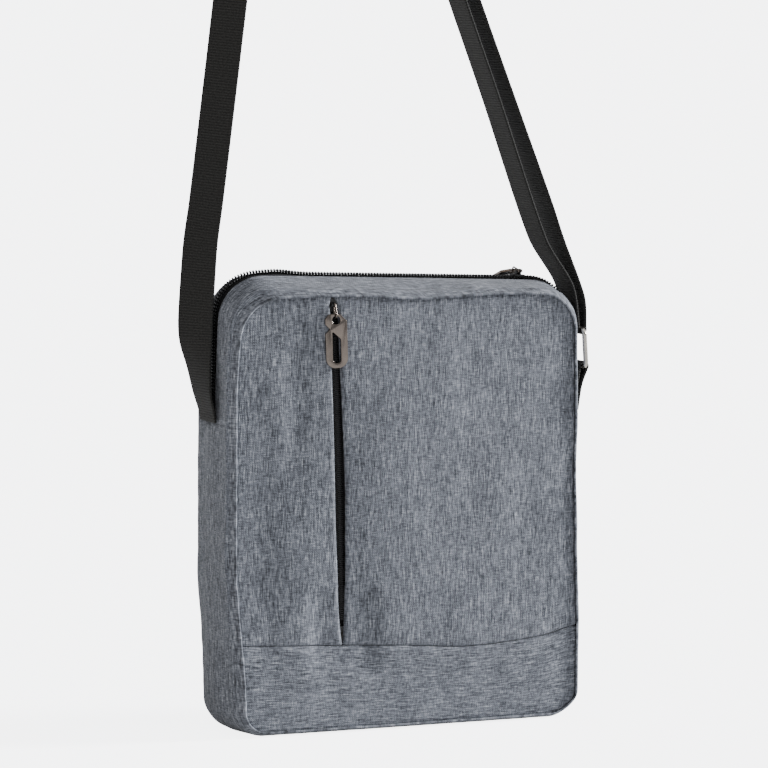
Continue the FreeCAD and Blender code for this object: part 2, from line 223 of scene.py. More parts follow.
def open_bay(x, z):
    """Where the pocket pull's tag hangs at the bottom of its travel."""
    return smooth((26 - abs(x - slit_centre(z))) / 12) * smooth((28 - abs(z - OPEN_TAG_Z)) / 10)


def drape(p):
    """The way the filled bag's cloth leaves the ideal shape. Millimetres in and out."""
    x, y, z = p
    outer = smooth((abs(y) - 12) / 18)
    face = smooth((abs(y) - 22) / 7)
    off_ridge = 1 - smooth((10 - abs(y)) / 4) * smooth((z - 184) / 6)
    front = y < 0
    outboard = min(1.0, max(0.0, abs(x) / HALF_W - 0.45) / 0.55) ** 1.5
    x_new = x + math.copysign(side_swell(x, y, z), x) * outboard
    z_new = z - seam_sag(x, z) * (outer if front else 0.0)
    z_new += top_wave(x) * outer * smooth((z - 150) / 110)
    bow = belly(x, z) * (1.0 if front else 0.8)
    if front:
        near_slit = bump((x - slit_centre(z)) / 17) * smooth((z - 40) / 30)
        bow *= 1 - 0.8 * near_slit
        # the cloth stays flat where the pull tag lies with the zip closed, and with it open
        bow *= 1 - 0.7 * bump((x - SLIT_X) / 24) * bump((z - CLOSED_TAG_Z) / 40)
        bow *= 1 - 0.95 * open_bay(x, z)
    y_new = y + math.copysign(bow * face, y)
    if front:
        turned = smooth((slit_centre(z) - x) / 64) * smooth((z - 30) / 60)
        fold = 1.5 * bump((x + 72) / 7) * bump((z - 205) / 55)
        fold += 0.9 * bump((x + 90) / 8) * bump((z - 110) / 60)
        y_new += (LEFT_TURN * turned + fold) * face
    soft = 1.5 * crease(x, y, z, 50, 3.1) + 0.6 * crease(x, y, z * 0.6, 19, 8.7)
    soft += 0.22 * crease(x, y, z, 8, 1.3)
    soft *= off_ridge * smooth(z / 12)
    if front and abs(y) > 20:
        soft *= 1 - 0.6 * bump((x - SLIT_X) / 16) * bump((z - CLOSED_TAG_Z) / 30)
        soft *= 1 - 0.95 * open_bay(x, z)
    if abs(x) > HALF_W - 4 and face < 0.5:
        x_new += math.copysign(soft, x)
    elif face > 0.1:
        y_new += math.copysign(soft, y) * face
    else:
        z_new += soft * 0.6 * smooth((z - 184) / 30)
    return Vector((x_new, y_new, max(0.0, z_new)))


def slit_centre(z):
    bow = 1.0 * bump((z - 168) / 58) - 0.8 * smooth((z - 244) / 14)
    return SLIT_X - (z - SLIT_MID) * SLIT_LEAN + bow


def slit_half(z):
    if z < 150:
        return 0.25 + SLIT_WIDEST * max(0.0, 1 - ((150 - z) / (150 - SLIT_FOOT)) ** 2) ** 0.6
    if z < 252:
        return SLIT_WIDEST + 0.25 - 1.0 * (z - 150) / 102
    return max(0.3, 2.15 - 1.85 * smooth((z - 252) / 7))


# ---------------------------------------------------------------- meshes

def mesh_object(name, points, faces, uvs=None, scale=MM):
    mesh = bpy.data.meshes.new(name)
    mesh.from_pydata([tuple(p * scale) for p in points], [], faces)
    mesh.validate()
    mesh.polygons.foreach_set("use_smooth", [True] * len(mesh.polygons))
    if uvs:
        layer = mesh.uv_layers.new(name="cloth")
        for loop in mesh.loops:
            layer.data[loop.index].uv = (uvs[loop.vertex_index][0] * scale, uvs[loop.vertex_index][1] * scale)
    obj = bpy.data.objects.new(name, mesh)
    bpy.context.scene.collection.objects.link(obj)
    return obj


def grid_object(name, rows, uvs, closed=False):
    """A quad sheet from rows of points, each with a matching row of (u, v) in millimetres."""
    wide = len(rows[0])
    faces = []
    for r in range(len(rows) - 1):
        for c in range(wide if closed else wide - 1):
            a, b = r * wide + c, r * wide + (c + 1) % wide
            faces.append((a, b, b + wide, a + wide))
    return mesh_object(name, [p for row in rows for p in row], faces, [u for row in uvs for u in row])


def applied(obj):
    """Bakes an object's modifiers into its mesh."""
    depsgraph = bpy.context.evaluated_depsgraph_get()
    mesh = bpy.data.meshes.new_from_object(obj.evaluated_get(depsgraph))
    obj.modifiers.clear()
    obj.data = mesh
    return obj


def thicken(obj, thick, outward):
    """Gives a sheet its thickness on the inner side. outward is a point function for the outer side."""
    mesh = obj.data
    mesh.update()
    wrong = sum(1 if poly.normal.dot(outward(poly.center)) < 0 else -1 for poly in mesh.polygons)
    if wrong > 0:
        mesh.flip_normals()
    mod = obj.modifiers.new("thickness", "SOLIDIFY")
    mod.thickness = thick * MM
    mod.offset = -1.0
    mod.use_rim = True
    return applied(obj)


def from_centre(centre):
    return lambda p: p - Vector(centre) * MM


def dense_ends(count):
    """Shares from 0 to 1, closest together at both ends."""
    return [0.5 - 0.5 * math.cos(math.pi * i / count) for i in range(count + 1)]


def quarter(gap, radius):
    """A rounded corner or fold: how far it falls back at a distance in from its edge."""
    if gap >= radius:
        return 0.0
    return radius - math.sqrt(max(0.0, radius ** 2 - (radius - max(0.0, gap)) ** 2))


def face_top(x):
    return TOP - quarter(HALF_W - abs(x), CORNER_TOP)


def face_base(x):
    return quarter(HALF_W - abs(x), CORNER_BASE)


def corner_frame(x, z):
    """The nearest corner's radius, and the distances in from its centre's two lines."""
    high = z > TOP / 2
    radius = CORNER_TOP if high else CORNER_BASE
    return radius, HALF_W - radius - abs(x), (TOP - radius - z) if high else (z - radius)


def edge_distance(x, z):
    """Distance inside the face's rounded outline."""
    radius, dx, dz = corner_frame(x, z)
    if dx < 0 and dz < 0:
        return radius - math.hypot(dx, dz)
    return min(dx, dz) + radius


def rolled(gap):
    """A turned seam at a gap from its edge: how far the cloth moves out in its plane, and falls back."""
    reach = SEAM_SET + SEAM_ROLL
    if gap >= reach:
        return 0.0, 0.0
    turn = SEAM_TURN * (1 - max(0.0, gap) / reach)
    return gap - reach + SEAM_ROLL * math.sin(turn), SEAM_ROLL * (1 - math.cos(turn))


def edge_normal(x, z):
    """The outward direction at the nearest point of the face's rounded outline."""
    dx, dz = corner_frame(x, z)[1:]
    up = 1 if z > TOP / 2 else -1
    if dx < 0 and dz < 0:
        size = math.hypot(dx, dz)
        return math.copysign(-dx / size, x), -dz / size * up
    return (math.copysign(1.0, x), 0.0) if dx < dz else (0.0, float(up))


def pucker(t, seed):
    """Small gathers that the stitches leave along a seam."""
    return 0.22 * noise.noise(Vector((t / 4.5, seed, 0))) + 0.18 * noise.noise(Vector((t / 11.0, seed, 5.0)))


def face_sheet(name, left, right, low, high, sign, extra, columns=64, rows=80, inset=0.0):
    """A panel of a flat face. left and right take z; low and high take x; extra adds a fall-back."""
    grid, uvs = [], []
    for v in dense_ends(rows):
        row, uv_row = [], []
        for u in dense_ends(columns):
            x0 = left(150) + (right(150) - left(150)) * u
            z = low(x0) + (high(x0) - low(x0)) * v
            x = left(z) + (right(z) - left(z)) * u
            gap = edge_distance(x, z)
            out, back = rolled(gap)
            nx, nz = edge_normal(x, z)
            fall = back + extra(x, z) + inset
            fall += pucker(x + z, 1.0) * math.exp(-gap / 5.0)
            row.append(drape((x + nx * out, sign * (FACE_Y - fall), z + nz * out)))
            uv_row.append((x, z))
        grid.append(row)
        uvs.append(uv_row)
    return grid_object(name, grid, uvs)


def band_sheet(name, kind, y0, y1, fall, inset=0.0, columns=22, rolls=False, hump=False, bares=0.0):
    """A strip of the gusset between two depths. fall(y, distance) lowers its surface.

    rolls turns its face seams under, hump lifts it with the closed chain's arch, and bares
    draws its inner edge aside at the top left corner, so that the zip tape shows.
    """
    grid, uvs = [], []
    for u in dense_ends(columns):
        y = y0 + (y1 - y0) * u
        row, uv_row = [], []
        run, last = 0.0, None
        for x, z, nx, nz in rim(kind, y):
            if last:
                run += math.hypot(x - last[0], z - last[1])
            last = (x, z)
            drop = fall(y, run) + inset
            if hump:
                drop -= zip_hump(x, nz) * smooth((STRIP_EDGE + 0.6 - abs(y)) / 3.2)
            out = math.copysign(rolled(FACE_Y - abs(y))[0], y) if rolls else 0.0
            aside = bares * u * u * bump((x + 100) / 24) * smooth((z - 200) / 34)
            point = Vector((x - nx * drop, y + out + math.copysign(aside, y), z - nz * drop))
            if kind == "base" and abs(nx) < 0.5:
                point.z = max(point.z, inset)
            row.append(drape(point))
            uv_row.append((y, run))
        grid.append(row)
        uvs.append(uv_row)
    return grid_object(name, grid, uvs)


# ---------------------------------------------------------------- materials

def new_material(name):
    mat = bpy.data.materials.new(name)
    mat.use_nodes = True
    tree = mat.node_tree
    tree.nodes.clear()
    out = tree.nodes.new("ShaderNodeOutputMaterial")
    shader = tree.nodes.new("ShaderNodeBsdfPrincipled")
    tree.links.new(shader.outputs[0], out.inputs["Surface"])
    return mat, tree, shader


def add(tree, kind, **values):
    node = tree.nodes.new(kind)
    for key, value in values.items():
        if key in node.inputs:
            node.inputs[key].default_value = value
        else:
            setattr(node, key, value)
    return node


def math_node(tree, operation, a, b=None):
    node = tree.nodes.new("ShaderNodeMath")
    node.operation = operation
    for i, value in enumerate((a, b)):
        if value is None:
            continue
        if isinstance(value, (int, float)):
            node.inputs[i].default_value = value
        else:
            tree.links.new(value, node.inputs[i])
    return node.outputs[0]


def cloth_coords(tree, stretch, use_uv=True):
    coords = tree.nodes.new("ShaderNodeTexCoord")
    mapping = tree.nodes.new("ShaderNodeMapping")
    mapping.inputs["Scale"].default_value = stretch
    tree.links.new(coords.outputs["UV" if use_uv else "Object"], mapping.inputs["Vector"])
    return mapping.outputs[0]


def ramp(tree, source, stops):
    node = tree.nodes.new("ShaderNodeValToRGB")
    elements = node.color_ramp.elements
    while len(elements) < len(stops):
        elements.new(0.5)
    for element, (place, color) in zip(elements, stops):
        element.position = place
        element.color = (*color, 1)
    tree.links.new(source, node.inputs[0])
    return node.outputs[0]


def bump_node(tree, height, strength, distance, normal=None):
    node = tree.nodes.new("ShaderNodeBump")
    node.inputs["Strength"].default_value = strength
    node.inputs["Distance"].default_value = distance
    tree.links.new(height, node.inputs["Height"])
    if normal:
        tree.links.new(normal, node.inputs["Normal"])
    return node.outputs[0]


def noise_value(tree, vector, detail=2.0, rough=0.5):
    node = add(tree, "ShaderNodeTexNoise", Scale=1.0, Detail=detail, Roughness=rough)
    tree.links.new(vector, node.inputs["Vector"])
    return node.outputs["Fac"]


def weave(tree, per_metre, use_uv=True):
    """Plain-weave relief: product of two sines across and along the cloth."""
    scaled = cloth_coords(tree, (per_metre, per_metre, per_metre), use_uv)
    split = tree.nodes.new("ShaderNodeSeparateXYZ")
    tree.links.new(scaled, split.inputs[0])
    second = split.outputs[1] if use_uv else split.outputs[2]
    a = math_node(tree, "SINE", math_node(tree, "MULTIPLY", split.outputs[0], math.pi))
    b = math_node(tree, "SINE", math_node(tree, "MULTIPLY", second, math.pi))
    return math_node(tree, "MULTIPLY", a, b)


def yarns(tree, uv, across, per_metre, slubs):
    """Brightness of parallel yarns: every yarn takes its own stretch of a noise along its length."""
    split = tree.nodes.new("ShaderNodeSeparateXYZ")
    tree.links.new(uv, split.inputs[0])
    index = math_node(tree, "FLOOR", math_node(tree, "MULTIPLY", split.outputs[across], per_metre))
    along = math_node(tree, "MULTIPLY", split.outputs[1 - across], slubs)
    join = tree.nodes.new("ShaderNodeCombineXYZ")
    tree.links.new(math_node(tree, "MULTIPLY", index, 7.31), join.inputs[0])
    tree.links.new(along, join.inputs[1])
    return noise_value(tree, join.outputs[0], 2.0, 0.6)


# The heather's yarns, from darkest to lightest
TONES = ((0.038, 0.042, 0.050), (0.102, 0.110, 0.131), (0.208, 0.222, 0.258), (0.500, 0.525, 0.578))


def heather(name, turned=False):
    """Two-tone heather: slubby light and dark yarns, mostly along the warp, in a plain weave."""
    mat, tree, shader = new_material(name)
    uv = cloth_coords(tree, (1, 1, 1))
    warp = yarns(tree, uv, 1 if turned else 0, 1900, 110)
    fine_warp = yarns(tree, uv, 1 if turned else 0, 3000, 260)
    weft = yarns(tree, uv, 0 if turned else 1, 2300, 230)
    cloud = noise_value(tree, cloth_coords(tree, (30, 30, 1)), 2.0, 0.5)
    mixed = math_node(tree, "MULTIPLY", warp, 0.42)
    for yarn, share in ((weft, 0.30), (fine_warp, 0.24), (cloud, 0.04)):
        mixed = math_node(tree, "ADD", mixed, math_node(tree, "MULTIPLY", yarn, share))
    color = ramp(tree, mixed, [(0.385, TONES[0]), (0.462, TONES[1]), (0.54, TONES[2]), (0.655, TONES[3])])
    tree.links.new(color, shader.inputs["Base Color"])
    shader.inputs["Roughness"].default_value = 0.88
    shader.inputs["Sheen Weight"].default_value = 0.12
    shader.inputs["Sheen Roughness"].default_value = 0.5
    shader.inputs["Specular IOR Level"].default_value = 0.25
    fine = bump_node(tree, weave(tree, 1500), 0.35, 0.00012)
    normal = bump_node(tree, mixed, 0.5, 0.00035, fine)
    tree.links.new(normal, shader.inputs["Normal"])
    return mat


def webbing_material(name="webbing", ribs=620.0):
    """Black ribbed webbing: cross ribs with fine yarns along its length."""
    mat, tree, shader = new_material(name)
    coords = cloth_coords(tree, (1, 1, 1))
    split = tree.nodes.new("ShaderNodeSeparateXYZ")
    tree.links.new(coords, split.inputs[0])
    rib = math_node(tree, "SINE", math_node(tree, "MULTIPLY", split.outputs[1], ribs * 2 * math.pi))
    yarn = math_node(tree, "SINE", math_node(tree, "MULTIPLY", split.outputs[0], 900 * 2 * math.pi))
    relief = math_node(tree, "ADD", rib, math_node(tree, "MULTIPLY", yarn, 0.35))
    fuzz = noise_value(tree, cloth_coords(tree, (900, 900, 1)), 3.0)
    tone = math_node(tree, "ADD", math_node(tree, "MULTIPLY", relief, 0.12), fuzz)
    color = ramp(tree, tone, [(0.25, (0.0030, 0.0029, 0.0027)), (0.75, (0.030, 0.0285, 0.0265))])
    tree.links.new(color, shader.inputs["Base Color"])
    shader.inputs["Roughness"].default_value = 0.72
    shader.inputs["Sheen Weight"].default_value = 0.02
    shader.inputs["Specular IOR Level"].default_value = 0.3
    normal = bump_node(tree, relief, 0.6, 0.00018)
    tree.links.new(bump_node(tree, fuzz, 0.3, 0.0002, normal), shader.inputs["Normal"])
    return mat


def plain_cloth(name, dark, light, per_metre, use_uv=True, rough=0.85):
    mat, tree, shader = new_material(name)
    relief = weave(tree, per_metre, use_uv)
    fuzz = noise_value(tree, cloth_coords(tree, (700, 700, 700), use_uv), 3.0)
    tone = math_node(tree, "ADD", math_node(tree, "MULTIPLY", relief, 0.2), fuzz)
    tree.links.new(ramp(tree, tone, [(0.3, dark), (0.8, light)]), shader.inputs["Base Color"])
    shader.inputs["Roughness"].default_value = rough
    shader.inputs["Specular IOR Level"].default_value = 0.25
    tree.links.new(bump_node(tree, relief, 0.5, 0.00015), shader.inputs["Normal"])
    return mat


def metal(name, tint, rough, scratch=0.15, metallic=1.0):
    """Plated metal with faint brushing and wear."""
    mat, tree, shader = new_material(name)
    streaks = noise_value(tree, cloth_coords(tree, (2500, 2500, 160), False), 2.0)
    wear = noise_value(tree, cloth_coords(tree, (160, 160, 160), False), 3.0)
    dark = tuple(c * 0.86 for c in tint)
    light = tuple(min(1.0, c * 1.1) for c in tint)
    tree.links.new(ramp(tree, wear, [(0.35, dark), (0.65, light)]), shader.inputs["Base Color"])
    level = math_node(tree, "ADD", math_node(tree, "MULTIPLY", streaks, scratch), rough - scratch / 2)
    tree.links.new(level, shader.inputs["Roughness"])
    shader.inputs["Metallic"].default_value = metallic
    tree.links.new(bump_node(tree, streaks, 0.06, 0.00005), shader.inputs["Normal"])
    return mat


def plastic(name, tint, rough):
    mat, tree, shader = new_material(name)
    grain = noise_value(tree, cloth_coords(tree, (900, 900, 900), False), 2.0)
    dark = tuple(c * 0.7 for c in tint)
    light = tuple(c * 1.25 for c in tint)
    tree.links.new(ramp(tree, grain, [(0.35, dark), (0.65, light)]), shader.inputs["Base Color"])
    shader.inputs["Roughness"].default_value = rough
    tree.links.new(bump_node(tree, grain, 0.1, 0.00005), shader.inputs["Normal"])
    return mat


MATERIALS = {
    "heather_cloth": heather("heather_cloth"),
    "heather_cloth_crosswise": heather("heather_cloth_crosswise", turned=True),
    "webbing": webbing_material(),
    "zip_tape": plain_cloth("zip_tape", (0.006, 0.006, 0.007), (0.022, 0.022, 0.024), 1500),
    "zip_coil": plastic("zip_coil", (0.02, 0.02, 0.022), 0.42),
    "zip_stop": plastic("zip_stop", (0.02, 0.02, 0.022), 0.45),
    "slider_metal": plastic("slider_metal", (0.018, 0.018, 0.019), 0.3),
    "pull_metal": metal("pull_metal", (0.23, 0.195, 0.172), 0.2),
    "strap_nickel": metal("strap_nickel", (0.62, 0.585, 0.53), 0.24),
    "lining": plain_cloth("lining", (0.012, 0.012, 0.014), (0.04, 0.04, 0.045), 1100),
    "foam": plain_cloth("foam", (0.35, 0.35, 0.33), (0.6, 0.6, 0.57), 500, False),
    "binding": plain_cloth("binding", (0.01, 0.01, 0.011), (0.035, 0.035, 0.038), 1400),
}


def dress(piece, slot, body, *nodes):
    """Gives a new piece its finish and its body, and hides the design nodes that it stands for."""
    piece.data.materials.clear()
    piece.data.materials.append(MATERIALS[slot])
    if nodes:
        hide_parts(*nodes)
    if body:
        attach(piece, body)
    return piece


def cut(piece):
    """Returns a sewn-in sheet of cloth as it is."""
    return piece


# ---------------------------------------------------------------- bag cloth

BAG_CENTRE = (0, 0, 130)
SEAM_GAP = 0.15          # each cloth stops this far from the band seam's line
FRONT = Vector((0, -1, 0))
BACK = Vector((0, 1, 0))


def facing(direction):
    return lambda point: direction


def left_edge(z):
    return -HALF_W


def right_edge(z):
    return HALF_W


def slit_fall(x, z, side):
    gap = abs(x - (slit_centre(z) + side * slit_half(z)))
    proud = 0.7 if side < 0 else -0.35
    return quarter(gap, SLIT_FOLD) - proud * bump(gap / 7.0)


def band_seam_fall(x, z):
    return 1.5 * math.exp(-abs(z - BAND_TOP) / 1.1)


def front_face():
    def over_seam(x):
        return BAND_TOP + SEAM_GAP

    left = face_sheet("front_left_panel_cloth", left_edge, lambda z: slit_centre(z) - slit_half(z),
                      over_seam, face_top, -1,
                      lambda x, z: slit_fall(x, z, -1) + band_seam_fall(x, z), 56, 110)
    right = face_sheet("front_right_panel_cloth", lambda z: slit_centre(z) + slit_half(z), right_edge,
                       over_seam, face_top, -1,
                       lambda x, z: slit_fall(x, z, 1) + band_seam_fall(x, z), 84, 110)
    low = face_sheet("front_lower_band_cloth", left_edge, right_edge, face_base,
                     lambda x: BAND_TOP - SEAM_GAP, -1, band_seam_fall, 110, 44)
    tall = TOP - BAND_TOP
    for piece, slot, node, wide, high in (
            (left, "heather_cloth", "front_left_panel", HALF_W + SLIT_X, tall),
            (right, "heather_cloth", "front_right_panel", HALF_W - SLIT_X, tall),
            (low, "heather_cloth_crosswise", "front_lower_band", 2 * HALF_W, BAND_TOP)):
        cut(dress(thicken(piece, CLOTH, facing(FRONT)), slot, "bag", node))


def fold_blend(piece):
    """Bakes the placement of one of the back's layers into its mesh."""
    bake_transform(piece)


def back_face():
    piece = face_sheet("back_panel_cloth", left_edge, right_edge, face_base, face_top, 1,
                       lambda x, z: 0.0, 96, 130)
    dress(thicken(piece, CLOTH, facing(BACK)), "heather_cloth", None, "back_panel_lower", "back_panel_upper")
    cut(piece)
    fold_blend(piece)


def edge_fall(y, run):
    gap = FACE_Y - abs(y)
    return rolled(gap)[1] + pucker(run, 2.0) * math.exp(-max(0.0, gap) / 5.0)


def strip_fall(y, run):
    """The zip strips dip at their face seam and roll under at the edge by the coil."""
    return edge_fall(y, run) + quarter(abs(y) - STRIP_EDGE, 0.9) * 0.8


def leaf_blend(piece):
    """Bakes the placement of a piece of the back half into its mesh."""
    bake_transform(piece)


def gusset():
    outward = from_centre(BAG_CENTRE)
    side = band_sheet("side_bottom_gusset_cloth", "base", -FACE_Y, FACE_Y, edge_fall, columns=44, rolls=True)
    dress(thicken(side, CLOTH, outward), "heather_cloth", "bag", "side_bottom_gusset")
    cut(side)
    front = band_sheet("zip_gusset_front_strip_cloth", "top", -FACE_Y, -STRIP_EDGE, strip_fall,
                       columns=26, rolls=True, bares=4.0)
    dress(thicken(front, CLOTH, outward), "heather_cloth", "bag", "zip_gusset_front_strip")
    cut(front)
    back = band_sheet("zip_gusset_back_strip_cloth", "top", STRIP_EDGE, FACE_Y, strip_fall,
                      columns=26, rolls=True)
    dress(thicken(back, CLOTH, outward), "heather_cloth", None, "zip_gusset_back_strip")
    cut(back)
    leaf_blend(back)


def linings():
    inset = 3.0
    outward = from_centre(BAG_CENTRE)
    front = face_sheet("front_lining_cloth", left_edge, right_edge, face_base, face_top, -1,
                       lambda x, z: 6.8 + 0.6 * crease(x, 0, z, 22, 4.0), 60, 70, inset)
    dress(thicken(front, LINING_THICK, facing(FRONT)), "lining", "bag", "front_lining")
    cut(front)
    rear = face_sheet("back_lining_cloth", left_edge, right_edge, face_base, face_top, 1,
                      lambda x, z: 0.9 + 0.5 * crease(x, 0, z, 22, 9.0), 60, 90, inset)
    dress(thicken(rear, LINING_THICK, facing(BACK)), "lining", None, "back_lining_lower", "back_lining_upper")
    cut(rear)
    fold_blend(rear)
    y0, y1 = -20, 26
    side = band_sheet("gusset_lining_cloth", "base", y0, y1, lambda y, run: 0.0, 3.2, 14)
    dress(thicken(side, LINING_THICK, outward), "lining", "bag", "gusset_lining")
    cut(side)


def foams():
    """Thin foam sheets behind the faces, cut short of the seams."""
    def left(z):
        return FOAM_EDGE - HALF_W

    def right(z):
        return HALF_W - FOAM_EDGE

    front = face_sheet("front_foam_pad", left, right, lambda x: FOAM_EDGE, lambda x: face_top(x) - 13, -1,
                       lambda x, z: 7.2, 40, 60)
    dress(thicken(front, FOAM_THICK, facing(FRONT)), "foam", "bag", "front_foam")
    rear = face_sheet("back_foam_pad", left, right, lambda x: FOAM_EDGE, lambda x: face_top(x) - 9, 1,
                      lambda x, z: 1.4, 40, 80)
    dress(thicken(rear, FOAM_THICK, facing(BACK)), "foam", None, "back_foam_lower", "back_foam_upper")
    fold_blend(rear)


def bindings():
    outward = from_centre(BAG_CENTRE)
    plans = (("front_seam_binding_tape", "top", -27.0, -22.5, "bag", "front_seam_binding"),
             ("front_seam_binding_base_tape", "base", -27.0, -22.5, "bag", "front_seam_binding"),
             ("back_seam_binding_base_tape", "base", 22.5, 27.0, "bag", "back_seam_binding_lower"),
             ("back_seam_binding_tape", "top", 22.5, 27.0, None, "back_seam_binding_upper"))
    for name, kind, y0, y1, body, node in plans:
        tape = band_sheet(name, kind, y0, y1, lambda y, run: 0.2 + 0.2 * pucker(run, 3.0), 1.6, 6)
        dress(thicken(tape, BINDING_THICK, outward), "binding", body, node)
        if not body:
            leaf_blend(tape)


# ---------------------------------------------------------------- zips

def helix(name, centres, normals, width=1.75, height=0.62, wire=0.36, phase=0.0, pitch=POCKET_PITCH):
    """A flattened coil of wire along a line. width and height are half of the coil's size."""
    sides, steps = 5, 8      # of the wire's section, and to one turn
    points, faces, ring = [], [], []
    for i, (centre, normal, cross) in enumerate(zip(*sample_line(centres, normals, pitch / steps))):
        angle = 2 * math.pi * i / steps + phase
        spot = centre + cross * (width * math.cos(angle)) + normal * (height * math.sin(angle))
        ring.append((spot, normal))
    for i, (spot, normal) in enumerate(ring):
        ahead = ring[min(i + 1, len(ring) - 1)][0] - ring[max(i - 1, 0)][0]
        ahead.normalize()
        a = ahead.cross(normal)
        a.normalize()
        b = ahead.cross(a)
        for k in range(sides):
            t = 2 * math.pi * k / sides
            points.append(spot + (a * math.cos(t) + b * math.sin(t)) * wire)
    for i in range(len(ring) - 1):
        for k in range(sides):
            p, q = i * sides + k, i * sides + (k + 1) % sides
            faces.append((p, q, q + sides, p + sides))
    faces.append(tuple(range(sides))[::-1])
    faces.append(tuple(len(points) - sides + k for k in range(sides)))
    return mesh_object(name, points, faces)


def sample_line(centres, normals, step):
    """Even samples along a polyline, with the normal and the direction across at each."""
    lengths = [0.0]
    for a, b in zip(centres, centres[1:]):
        lengths.append(lengths[-1] + (b - a).length)
    spots, ups, crosses = [], [], []
    count = int(lengths[-1] / step)
    k = 0
    for i in range(count + 1):
        s = i * step
        while k < len(lengths) - 2 and lengths[k + 1] < s:
            k += 1
        t = (s - lengths[k]) / (lengths[k + 1] - lengths[k])
        spots.append(centres[k].lerp(centres[k + 1], t))
        up = normals[k].lerp(normals[k + 1], t).normalized()
        tangent = (centres[k + 1] - centres[k]).normalized()
        ups.append(up)
        crosses.append(tangent.cross(up).normalized())
    return spots, ups, crosses


def zip_hump(x, nz):
    """The closed chain arches up before it turns down the left corner."""
    return 1.3 * bump((x + 75) / 11) * max(0.0, nz)


def main_zip():
    def tape_drop(y, run):
        """The tape lies under the strips and rises to the chain between them."""
        return CLOTH + 0.05 - 1.1 * smooth((STRIP_EDGE + 0.6 - abs(y)) / 3.2)

    outward = from_centre(BAG_CENTRE)
    for word, sign, body in (("front", -1, "bag"), ("back", 1, None)):
        y0, y1 = sorted((sign * 0.35, sign * TAPE_EDGE))
        tape = band_sheet(f"main_zip_{word}_tape_cloth", "top", y0, y1, tape_drop, 0.0, 16, hump=True)
        dress(thicken(tape, TAPE_THICK, outward), "zip_tape", body, f"main_zip_{word}_tape")
        line, ups = [], []
        for x, z, nx, nz in rim("top", 0.0):
            if z < COIL_END:
                continue
            proud = MAIN_PROUD + zip_hump(x, nz)
            line.append(Vector((x + nx * proud, sign * MAIN_ROW, z + nz * proud)))
            ups.append(Vector((nx, 0, nz)))
        coil = helix(f"main_zip_{word}_coil_turns", line, ups, width=1.9, height=0.95, wire=0.55,
                     phase=0.0 if sign < 0 else math.pi, pitch=MAIN_PITCH)
        dress(coil, "zip_coil", body, f"main_zip_{word}_coil")
        if not body:
            leaf_blend(tape)
            leaf_blend(coil)


def pocket_zip():
    """The pocket's tapes and coil lie straight behind the slit."""
    z0, z1 = 62.0, 258.0

    def centre(z):
        return SLIT_X - (z - SLIT_MID) * SLIT_LEAN

    for word, sign in (("left", -1), ("right", 1)):
        rows, uvs = [], []
        for i in range(41):
            z = z0 + (z1 - z0) * i / 40
            row, uv_row = [], []
            for j in range(7):
                u = sign * (0.4 + (TAPE_EDGE - 0.4) * j / 6)
                row.append(Vector((centre(z) + u, POCKET_TAPE_Y, z)))
                uv_row.append((u, z))
            rows.append(row)
            uvs.append(uv_row)
        tape = grid_object(f"pocket_zip_{word}_tape_cloth", rows, uvs)
        dress(thicken(tape, TAPE_THICK, facing(FRONT)), "zip_tape", "bag", f"pocket_zip_{word}_tape")
        ends = [Vector((centre(z) + sign * POCKET_ROW, POCKET_TAPE_Y - POCKET_PROUD, z))
                for z in (z0 + 4, z1 - 1)]
        coil = helix(f"pocket_zip_{word}_coil_turns", ends, [FRONT, FRONT],
                     phase=0.0 if sign < 0 else math.pi)
        dress(coil, "zip_coil", "bag", f"pocket_zip_{word}_coil")


# ---------------------------------------------------------------- strap

def catmull(stations, step=3.0):
    """A smooth line through (x, y, z, twist) stations."""
    out = []
    padded = [stations[0]] + list(stations) + [stations[-1]]
    for i in range(1, len(padded) - 2):
        p = padded[i - 1:i + 3]
        gap = math.dist(p[1][:3], p[2][:3])
        count = max(2, int(gap / step))
        for k in range(count):
            t = k / count
            point = []
            for c in range(4):
                m1 = (p[2][c] - p[0][c]) / 2
                m2 = (p[3][c] - p[1][c]) / 2
                d0, d1 = math.dist(p[0][:3], p[1][:3]), math.dist(p[2][:3], p[3][:3])
                m1 *= min(1.0, 2 * gap / (gap + d0)) if d0 else 1.0
                m2 *= min(1.0, 2 * gap / (gap + d1)) if d1 else 1.0
                a, b = p[1][c], p[2][c]
                point.append((2 * t ** 3 - 3 * t ** 2 + 1) * a + (t ** 3 - 2 * t ** 2 + t) * m1
                             + (3 * t ** 2 - 2 * t ** 3) * b + (t ** 3 - t ** 2) * m2)
            out.append(point)
    out.append(list(stations[-1]))
    return out


# The webbing's section: its lower side from edge to edge, then its upper side back
WEB_LOWER = [(-12.5, -0.3), (-12.25, -0.68), (-11.6, -0.75), (-6, -0.72), (0, -0.72), (6, -0.72),
             (11.6, -0.75), (12.25, -0.68), (12.5, -0.3)]
WEB_PROFILE = WEB_LOWER + [(a, -b) for a, b in reversed(WEB_LOWER)]


